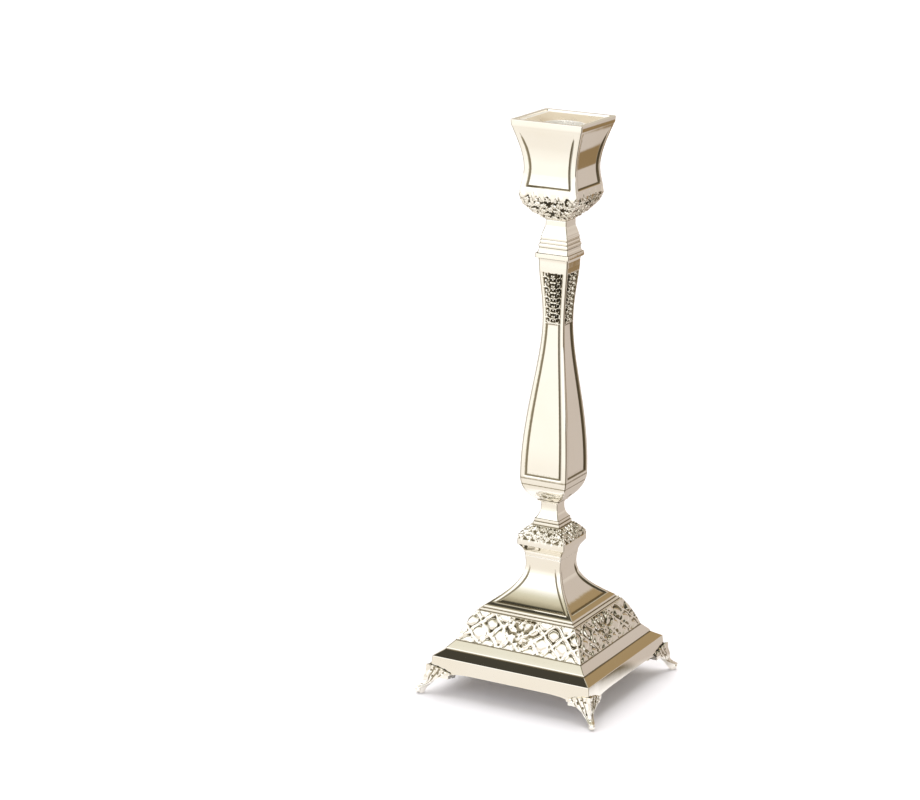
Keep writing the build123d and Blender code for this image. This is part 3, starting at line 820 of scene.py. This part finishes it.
def make_socket():
    """Square flange, a dish that runs from the square to the round mouth, and a tube with a floor."""
    # half-width, level and squareness: 1 is a square section, 0 a round one
    rows = [
        (FLANGE_HALF, FLANGE_LOW + 0.15, 1),
        (FLANGE_HALF, FLANGE_TOP - 0.15, 1),
        (FLANGE_HALF - 0.15, FLANGE_TOP, 1),
        (DISH_HALF + 0.12, FLANGE_TOP, 1),
    ]
    for share in np.linspace(0, 1, 15):
        fall = 0.82 * share + 0.18 * share**3
        half = DISH_HALF + (CANDLE_RADIUS + 0.2 - DISH_HALF) * share
        rows.append((half, FLANGE_TOP - 0.1 + (MOUTH + 0.1 - FLANGE_TOP) * fall, (1 - share) ** 0.8))
    rows += [
        (CANDLE_RADIUS, MOUTH - 0.3, 0),
        (CANDLE_RADIUS, SOCKET_FLOOR + 0.5, 0),
        (CANDLE_RADIUS - 0.5, SOCKET_FLOOR, 0),
        (0, SOCKET_FLOOR, 0),
        (0, SOCKET_FOOT, 0),
        (TUBE_RADIUS - 0.4, SOCKET_FOOT, 0),
        (TUBE_RADIUS, SOCKET_FOOT + 0.4, 0),
        (TUBE_RADIUS, MOUTH - 1.6, 0),
        (DISH_HALF + 0.3, FLANGE_LOW, 1),
        (FLANGE_HALF - 0.15, FLANGE_LOW, 1),
        rows[0],
    ]
    turns = 96
    angle = np.linspace(0, math.tau, turns + 1)
    square = 1 / np.maximum(np.abs(np.cos(angle)), np.abs(np.sin(angle)))
    half, level, squareness = (np.array(column)[:, None] for column in zip(*rows))
    radius = half * (1 + squareness * (square - 1))
    places = np.stack([radius * np.cos(angle), radius * np.sin(angle), level + 0 * radius], axis=-1)
    bm = bmesh.new()
    bmesh.ops.create_grid(bm, x_segments=turns, y_segments=len(rows) - 1, size=1)
    # the sunken dish is marked for painted shade
    in_dish = (level > MOUTH) & (level < FLANGE_TOP - 0.05) & (half < DISH_HALF)
    grid_places(bm, places, in_dish + 0 * radius)
    close_and_turn_out(bm)
    return bm


# ---- finishes ----
class Field:
    """A socket of a material, on which arithmetic adds Math nodes."""

    def __init__(self, finish, socket):
        self.finish = finish
        self.socket = socket

    def maths(self, operation, first, second):
        return self.finish.node("ShaderNodeMath", {"operation": operation}, {0: first, 1: second})

    def __add__(self, other):
        return self.maths("ADD", self, other)

    def __radd__(self, other):
        return self.maths("ADD", other, self)

    def __sub__(self, other):
        return self.maths("SUBTRACT", self, other)

    def __rsub__(self, other):
        return self.maths("SUBTRACT", other, self)

    def __mul__(self, other):
        return self.maths("MULTIPLY", self, other)

    def __rmul__(self, other):
        return self.maths("MULTIPLY", other, self)


class Finish:
    """A node tree that is written as expressions."""

    def __init__(self, tree):
        self.tree = tree
        tree.nodes.clear()

    def node(self, kind, settings, sockets, output=0):
        """Adds a node and returns one of its outputs, by number or name."""
        made = self.tree.nodes.new(kind)
        for name, value in settings.items():
            if name == "stops":
                self.set_stops(made.color_ramp, value)
            else:
                setattr(made, name, value)
        for name, value in sockets.items():
            if isinstance(value, Field):
                self.tree.links.new(value.socket, made.inputs[name])
            else:
                made.inputs[name].default_value = value
        return Field(self, made.outputs[output]) if made.outputs else None

    def set_stops(self, color_ramp, stops):
        while len(color_ramp.elements) < len(stops):
            color_ramp.elements.new(0.5)
        for element, (place, colour) in zip(color_ramp.elements, stops):
            element.position = place
            element.color = (*colour, 1)

    def mix(self, share, first, second):
        """Two colours, mixed."""
        return self.node("ShaderNodeMix", {"data_type": "RGBA"}, {0: share, 6: first, 7: second}, output=2)

    def parts(self, vector):
        """X, Y and Z of a vector."""
        split = self.node("ShaderNodeSeparateXYZ", {}, {"Vector": vector})
        return [Field(self, output) for output in split.socket.node.outputs]

    def noise(self, place, scale, detail=2.0, stretch=(1, 1, 1)):
        moved = self.node("ShaderNodeMapping", {}, {"Vector": place, "Scale": stretch})
        return self.node("ShaderNodeTexNoise", {}, {"Vector": moved, "Scale": scale, "Detail": detail})

    def ramp(self, value, stops):
        return self.node("ShaderNodeValToRGB", {"stops": stops}, {"Fac": value})

    def curve(self, value, low, high, new_low=0.0, new_high=1.0):
        """Smooth change from one value at low to another at high."""
        return self.node("ShaderNodeMapRange", {"interpolation_type": "SMOOTHSTEP"}, {
            "Value": value, "From Min": low, "From Max": high, "To Min": new_low, "To Max": new_high})


def metal(name, look_of, base_roughness, constants=None):
    """A metal whose colour, roughness, bumps and their depth in metres come from look_of."""
    material = bpy.data.materials.new(name)
    material.use_nodes = True
    finish = Finish(material.node_tree)
    place = finish.node("ShaderNodeTexCoord", {}, {}, output="Object")
    colour, roughness, bumps, depth = look_of(finish, place, base_roughness)
    normal = finish.node("ShaderNodeBump", {}, {"Strength": 1.0, "Distance": depth, "Height": bumps})
    sockets = {"Base Color": colour, "Roughness": roughness, "Metallic": 1.0, "Normal": normal}
    sockets.update(constants or {})
    shader = finish.node("ShaderNodeBsdfPrincipled", {}, sockets)
    finish.node("ShaderNodeOutputMaterial", {}, {"Surface": shader})
    return material


SILVER_PALE = (0.97, 0.945, 0.88, 1)
SILVER_WARM = (0.94, 0.895, 0.79, 1)
OXIDE_AND_SHADE_BROWN = (0.115, 0.09, 0.055, 1)
OXIDE_AND_SHADE_BLACK = (0.03, 0.027, 0.022, 1)
OLIVE_FILM_AND_SHADE = (0.33, 0.285, 0.19, 1)


def polished_silver(finish, place, base_roughness):
    """Bright plate with a warm cast, oxide and painted shade in the recesses, and fine polishing marks."""
    # recess holds the darkening laid into corners, grooves and hollows: oxide and painted shade
    recess = finish.node("ShaderNodeAttribute", {"attribute_name": "recess"}, {}, output="Fac")
    broad = finish.noise(place, 38.0, 3.0)
    fine = finish.noise(place, 900.0, 2.0)
    wiped = finish.noise(place, 260.0, 3.0, (1, 1, 0.18))
    silver = finish.mix(finish.curve(broad, 0.3, 0.75, 0, 0.55), SILVER_PALE, SILVER_WARM)
    oxide_and_shade = finish.mix(finish.curve(fine, 0.35, 0.7), OXIDE_AND_SHADE_BLACK, OXIDE_AND_SHADE_BROWN)
    uneven = recess + (fine - 0.5) * 0.25
    shade = finish.curve(uneven, 0.12, 0.85)
    filmed_and_shaded = finish.mix(finish.curve(uneven, 0.08, 0.45), silver, OLIVE_FILM_AND_SHADE)
    colour = finish.mix(finish.curve(uneven, 0.40, 0.95), filmed_and_shaded, oxide_and_shade)
    roughness = base_roughness + 0.03 * broad + 0.03 * wiped + 0.42 * shade
    bumps = 0.7 * broad + 0.1 * wiped + 0.03 * fine
    return colour, roughness, bumps, 0.00013


def satin_silver(finish, place, base_roughness):
    """Plate dulled by wax and wiping. The dish is painted darker and yellower than the tube, as painted
    shade.
    """
    film = finish.noise(place, 150.0, 3.0)
    scuffs = finish.noise(place, 700.0, 3.0, (1, 0.3, 1))
    dish_shade = finish.node("ShaderNodeAttribute", {"attribute_name": "recess"}, {}, output="Fac")
    clean = finish.mix(finish.curve(film, 0.3, 0.7), (0.99, 0.98, 0.95, 1), (0.95, 0.93, 0.88, 1))
    # painted shade in the sunken dish
    colour = finish.mix(dish_shade, clean, (0.72, 0.63, 0.49, 1))
    return colour, base_roughness + 0.12 * film + 0.06 * scuffs, 0.6 * film + 0.2 * scuffs, 0.0001


THREAD_PITCH = 0.8


def steel_rod(finish, place, base_roughness):
    """Drawn steel with a rolled thread along its length."""
    height = finish.parts(place)[2]
    turns = height * (math.tau / THREAD_PITCH / MM)
    thread = finish.node("ShaderNodeMath", {"operation": "SINE"}, {0: turns})
    grime = finish.noise(place, 420.0, 4.0)
    colour = finish.mix(finish.curve(grime, 0.35, 0.7), (0.42, 0.41, 0.40, 1), (0.20, 0.18, 0.16, 1))
    return colour, base_roughness + 0.22 * grime, 0.5 * thread + 0.2 * grime, 0.00025


def zinc_plate(finish, place, base_roughness):
    """Passivated zinc: pale grey with a faint yellow bloom."""
    bloom = finish.noise(place, 210.0, 4.0)
    grain = finish.noise(place, 1500.0, 2.0)
    colour = finish.mix(finish.curve(bloom, 0.35, 0.68), (0.62, 0.64, 0.66, 1), (0.60, 0.55, 0.40, 1))
    return colour, base_roughness + 0.2 * grain, 0.5 * grain + 0.3 * bloom, 0.00008


def rolled_plate(finish, place, base_roughness):
    """Rolled steel sheet with a grain along X and a few dark spots."""
    grain = finish.noise(place, 900.0, 3.0, (0.06, 1, 1))
    spots = finish.curve(finish.noise(place, 320.0, 3.0), 0.62, 0.72)
    sheet = finish.mix(finish.curve(grain, 0.3, 0.7), (0.50, 0.49, 0.47, 1), (0.36, 0.35, 0.34, 1))
    colour = finish.mix(spots, sheet, (0.17, 0.12, 0.08, 1))
    return colour, base_roughness + 0.25 * grain + 0.2 * spots, grain + spots * 0.4, 0.00006


def spring_finish(finish, place, base_roughness):
    """Oil-blued spring steel."""
    cloud = finish.noise(place, 300.0, 4.0)
    colour = finish.mix(finish.curve(cloud, 0.35, 0.7), (0.11, 0.12, 0.15, 1), (0.20, 0.15, 0.12, 1))
    return colour, base_roughness + 0.2 * cloud, cloud, 0.00006


silver_castings = metal("silver_plate_castings", polished_silver, 0.025)
silver_feet = metal("silver_plate_feet", polished_silver, 0.09)
silver_socket = metal("silver_plate_socket", satin_silver, 0.2, {"Metallic": 0.35})

finish_of_node = {
    "tie_rod": metal("threaded_steel", steel_rod, 0.28),
    "spring_washer": metal("blued_spring_steel", spring_finish, 0.3),
}
zinc = metal("zinc_plated_steel", zinc_plate, 0.3)
plate = metal("rolled_steel_plate", rolled_plate, 0.32)
finish_of_node.update({name: zinc for name in ("cup_nut", "base_nut", "foot_screws")})
finish_of_node.update({name: plate for name in ("cup_washer", "clamp_plate", "base_washer", "foot_washers")})

# ---- the pieces ----
STICK = "candlestick"
finish_mesh("base_casting", make_base(), silver_castings, STICK, ["base"])
finish_mesh("knop_casting", make_knop(), silver_castings, STICK, ["knop"])
finish_mesh("shaft_casting", make_shaft(), silver_castings, STICK, ["shaft"])
finish_mesh("neck_casting", make_neck(), silver_castings, STICK, ["neck"])
finish_mesh("cup_casting", make_cup(), silver_castings, STICK, ["cup"])
corners = {"rear_right": 0, "rear_left": 1, "front_left": 2, "front_right": 3}
for corner, quarter in corners.items():
    finish_mesh("acanthus_foot_" + corner, make_foot(quarter * math.pi / 2), silver_feet,
                STICK, ["foot_" + corner])
finish_mesh("candle_socket_liner", make_socket(), silver_socket, "lift_out_socket",
            ["candle_socket"], sharp=24)
for node, material in finish_of_node.items():
    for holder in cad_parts[node].material_slots:
        holder.material = material

# ---- floor, reflector and light ----
def flat_sheet(name, half, level, material, only_reflected):
    """Level square round the axis. It can be hidden from all but the reflections."""
    bm = bmesh.new()
    lifted = Matrix.Translation((0, 0, level))
    bmesh.ops.create_grid(bm, x_segments=1, y_segments=1, size=half, matrix=lifted)
    mesh = bpy.data.meshes.new(name)
    bm.to_mesh(mesh)
    bm.free()
    mesh.materials.append(material)
    sheet = bpy.data.objects.new(name, mesh)
    bpy.context.scene.collection.objects.link(sheet)
    if only_reflected:
        sheet.visible_camera = False
        sheet.visible_diffuse = False
        sheet.visible_shadow = False
        sheet.visible_transmission = False
    return sheet


def matt(name, colour):
    material = bpy.data.materials.new(name)
    material.use_nodes = True
    finish = Finish(material.node_tree)
    shader = finish.node("ShaderNodeBsdfPrincipled", {}, {
        "Base Color": colour, "Roughness": 0.9, "Specular IOR Level": 0.1})
    finish.node("ShaderNodeOutputMaterial", {}, {"Surface": shader})
    return material


GREIGE = (0.60, 0.525, 0.47, 1)
NEAR_BEIGE = (0.94, 0.885, 0.81, 1)
FAR_CREAM = (1.10, 1.07, 1.01, 1)
GAP_BROWN = (0.17, 0.135, 0.085, 1)
BOARD_BROWN = (0.28, 0.19, 0.095, 1)
# the way over the table that the right-hand face reflects to the viewer
MIRRORED_X = 0.47
MIRRORED_Y = 0.88
# gaps in the tent: the middle, clockwise from that way, the half-width in radians and
# the strength. A dark one is on the right and a fainter one on the left.
GAPS = ((math.radians(50), 0.40, 1.0), (math.radians(-136), 0.30, 0.7))
GAP_EDGE = 0.12
FLOOR_HALF = 9.0


def reflector(name):
    """What the silver sees of the table: beige near by, cream beyond, greige behind, gaps and a board."""
    material = bpy.data.materials.new(name)
    material.use_nodes = True
    finish = Finish(material.node_tree)
    place = finish.node("ShaderNodeTexCoord", {}, {}, output="Object")
    x, y, _ = finish.parts(place)
    reach = finish.node("ShaderNodeVectorMath", {"operation": "LENGTH"}, {0: place}, output="Value")
    beyond = MIRRORED_X * x + MIRRORED_Y * y
    rightward = MIRRORED_Y * x - MIRRORED_X * y
    front = finish.mix(finish.curve(reach, 0.12, 0.75), NEAR_BEIGE, FAR_CREAM)
    colour = finish.mix(finish.curve(beyond, -0.02, 0.07), front, GREIGE)
    aslant = finish.node("ShaderNodeMath", {"operation": "ARCTAN2"}, {0: rightward, 1: beyond})
    for middle, half_width, strength in GAPS:
        off_middle = finish.node("ShaderNodeMath", {"operation": "ABSOLUTE"}, {0: aslant - middle})
        in_gap = finish.curve(off_middle, half_width, half_width + GAP_EDGE, strength, 0.0)
        colour = finish.mix(in_gap, colour, GAP_BROWN)
    # the board lies across the back, and is cut off at a slant on the right
    along_board = finish.curve(x, 0.12, 0.18) * (1 - finish.curve(x - 0.5 * y, -0.02, 0.01))
    on_board = (finish.curve(y, 0.60, 0.66) - finish.curve(y, 1.02, 1.12)) * along_board
    colour = finish.mix(on_board, colour, BOARD_BROWN)
    light = finish.node("ShaderNodeEmission", {}, {"Color": colour, "Strength": 1.0})
    clear = finish.node("ShaderNodeBsdfTransparent", {}, {})
    # near the stick the sheet is open, so that the feet reflect the floor itself
    away = finish.curve(reach, 0.06, 0.10)
    shown = finish.node("ShaderNodeMixShader", {}, {0: away, 1: clear, 2: light})
    finish.node("ShaderNodeOutputMaterial", {}, {"Surface": shown})
    return material


flat_sheet("floor", FLOOR_HALF, -0.0002, matt("pale_floor", (0.885, 0.875, 0.92, 1)), False)
flat_sheet("table_reflector", FLOOR_HALF, 0.0004, reflector("table_reflector"), True)

sun = bpy.data.lights.new("overhead_softbox", "SUN")
sun.energy = 2.6
sun.angle = math.radians(62)
sun_object = bpy.data.objects.new("overhead_softbox", sun)
bpy.context.scene.collection.objects.link(sun_object)
sun_object.rotation_euler = Vector((-0.25, 0.30, 1.0)).to_track_quat("Z", "Y").to_euler()
sun_object.visible_glossy = False

# The studio has a pale front and horizon, a dark gap overhead and warm boards at the back.
world = bpy.data.worlds.new("studio")
bpy.context.scene.world = world
world.use_nodes = True
sky = Finish(world.node_tree)
right, back, up = sky.parts(sky.node("ShaderNodeTexCoord", {}, {}, output="Generated"))
front_to_back = sky.ramp(0.5 * back + 0.5, [
    (0.0, (1.40, 1.41, 1.45)),
    (0.20, (1.32, 1.32, 1.33)),
    (0.34, (0.74, 0.71, 0.57)),
    (0.39, (0.62, 0.57, 0.43)),
    (0.43, (0.36, 0.32, 0.22)),
    (0.46, (0.09, 0.08, 0.055)),
    (0.50, (0.055, 0.05, 0.038)),
    (0.61, (0.07, 0.064, 0.046)),
    (0.66, (0.50, 0.465, 0.37)),
    (1.0, (0.64, 0.585, 0.48)),
])
past_board = sky.curve(right, 0.27, 0.31)
gold_board = (sky.curve(right, -0.16, -0.10) - past_board) * sky.curve(back, 0.62, 0.72)
back_right = past_board * sky.curve(back, 0.3, 0.6)
near_horizon = 1 - sky.curve(up, 0.05, 0.14)
horizon = sky.mix(sky.curve(back, -0.3, 0.3), (1.15, 1.14, 1.12, 1), (0.70, 0.63, 0.57, 1))
studio = sky.mix(gold_board, front_to_back, (0.37, 0.265, 0.14, 1))
studio = sky.mix(back_right, studio, GREIGE)
studio = sky.mix(near_horizon, studio, horizon)
backdrop = sky.node("ShaderNodeBackground", {}, {"Color": studio, "Strength": 1.0})
sky.node("ShaderNodeOutputWorld", {}, {"Surface": backdrop})

# ---- camera ----
# It stands off from half height. Distance and shifts are in heights of the candlestick.
HEIGHT = RIM_TOP * MM
AZIMUTH = math.radians(28.312)
ELEVATION = math.radians(15.544)
ROLL = math.radians(1.033)
DISTANCE = 4.7236
SIDEWAYS = -0.16336
UPWARDS = 0.011476
camera = bpy.data.cameras.new("camera")
camera.lens = 108.06
camera.sensor_width = 36.0
camera.clip_start = 0.05
camera_object = bpy.data.objects.new("camera", camera)
bpy.context.scene.collection.objects.link(camera_object)
flat = math.cos(ELEVATION)
to_camera = Vector((math.sin(AZIMUTH) * flat, -math.cos(AZIMUTH) * flat, math.sin(ELEVATION)))
level_right = Vector((math.cos(AZIMUTH), math.sin(AZIMUTH), 0))
level_up = to_camera.cross(level_right)
rolled_right = math.cos(ROLL) * level_right + math.sin(ROLL) * level_up
rolled_up = -math.sin(ROLL) * level_right + math.cos(ROLL) * level_up
shift = (to_camera * DISTANCE + rolled_right * SIDEWAYS + rolled_up * UPWARDS) * HEIGHT
turned = Matrix((rolled_right, rolled_up, to_camera)).transposed().to_4x4()
camera_object.matrix_world = Matrix.Translation(Vector((0, 0, 0.5 * HEIGHT)) + shift) @ turned
bpy.context.scene.camera = camera_object
bpy.context.scene.view_settings.view_transform = "Standard"
